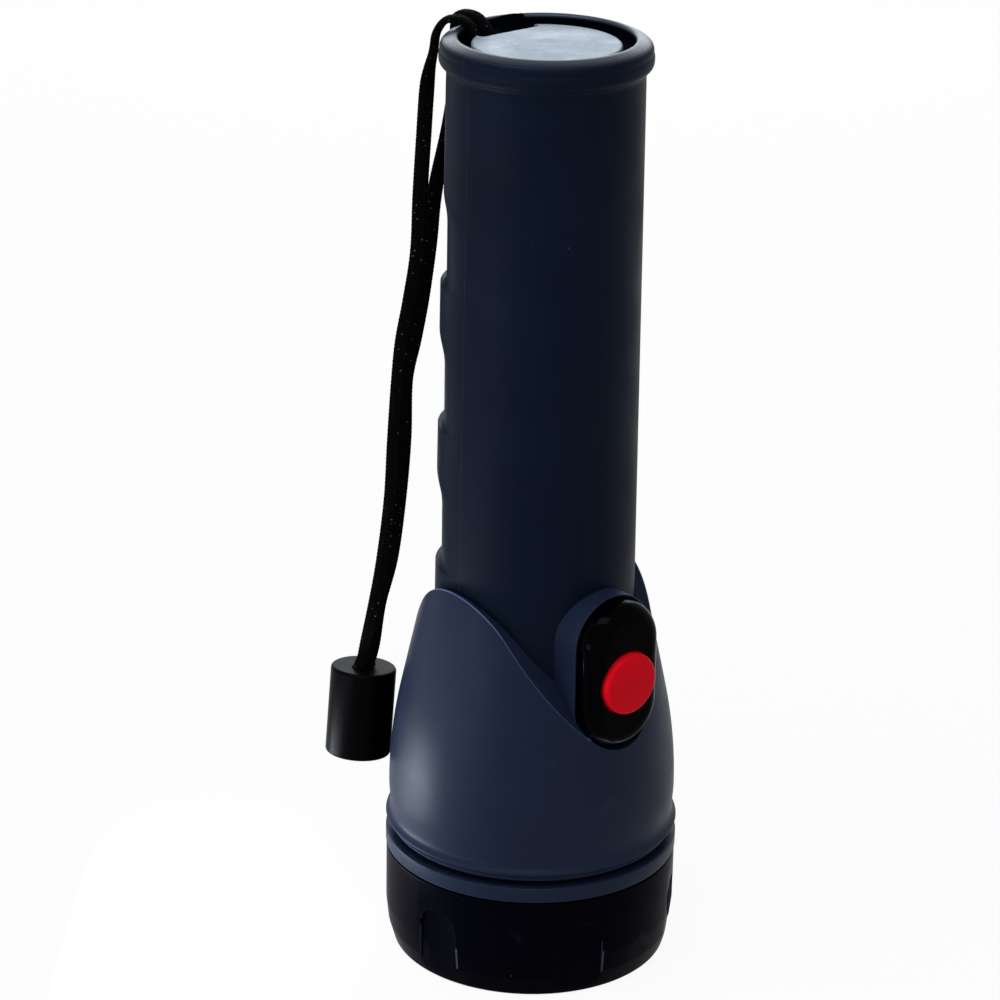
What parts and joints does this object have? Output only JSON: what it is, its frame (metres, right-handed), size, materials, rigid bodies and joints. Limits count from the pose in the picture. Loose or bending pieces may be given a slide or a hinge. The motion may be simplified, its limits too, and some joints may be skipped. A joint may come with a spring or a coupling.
{
  "type": "led flashlight",
  "caption": "LED flashlight standing on its screw-off front ring, with a tapered grip handle, a head shell cut into side petals, a push switch and a wrist cord",
  "frame": {"origin": "on the flashlight's axis, in the plane of the front ring's front face, which it stands on", "axes": "+Z runs along the axis from the lens to the tail, -Y is the side with the push button, +X completes a right-handed frame"},
  "size_m": [0.0633, 0.0668, 0.2018],
  "materials": {
    "slate_rubber": "soft-touch matte moulded plastic, dark slate blue",
    "slate_plastic": "satin moulded plastic, slate blue",
    "black_plastic": "satin moulded plastic, black",
    "gloss_black": "polished moulded plastic, black",
    "red_plastic": "satin moulded plastic, red",
    "grey_plastic": "satin moulded plastic, slate grey",
    "clear_plastic": "clear polished plastic",
    "seal_rubber": "soft black rubber",
    "mirror_metal": "metallised mirror coating",
    "circuit_board": "white solder mask on board",
    "led_yellow": "clear dome over yellow phosphor",
    "white_plastic": "plain moulded plastic, off-white",
    "brass": "bare stamped and turned brass",
    "spring_steel": "nickel-plated spring steel",
    "cell_jacket": "plain metallised jacket",
    "cord_black": "braided nylon, black with a fine fleck",
    "stopper_black": "satin moulded plastic, black"
  },
  "bodies": {
    "front_assembly": {"front_ring": "black_plastic", "window_gasket": "seal_rubber", "window": "clear_plastic", "reflector": "mirror_metal", "led": "led_yellow", "led_board": "circuit_board", "module_holder": "white_plastic", "contact_ring": "brass", "centre_contact": "brass", "battery_1": "cell_jacket", "battery_2": "cell_jacket"},
    "seal": {"collar_seal": "seal_rubber"},
    "handle": {"screw_collar": "slate_plastic", "head_shell": "slate_plastic", "handle_tube": "slate_rubber", "switch_cover": "gloss_black", "switch_body": "black_plastic", "tail_strip": "brass", "head_strip": "brass", "tail_plate": "spring_steel", "tail_spring": "spring_steel", "tail_cap": "grey_plastic", "cord_pin": "spring_steel", "cord_strand_front": "cord_black", "cord_strand_rear": "cord_black", "cord_stopper": "stopper_black"},
    "button": {"push_button": "red_plastic"}
  },
  "joints": [
    {"name": "handle_rise", "type": "slide", "parent": "front_assembly", "child": "seal", "axis": [0, 0, 1], "range_m": [0, 0.008]},
    {"name": "handle_turn", "type": "hinge", "parent": "seal", "child": "handle", "pos_m": [0, 0, 0.0225], "axis": [0, 0, 1], "range_deg": [0, 720]},
    {"name": "button_press", "type": "slide", "parent": "handle", "child": "button", "axis": [0, 1, 0], "range_m": [0, 0.0012], "stiffness_N_per_m": 2500}
  ],
  "couplings": [
    {"joint": "handle_turn", "follows": "handle_rise", "rad_per_m": 1570.8}
  ]
}
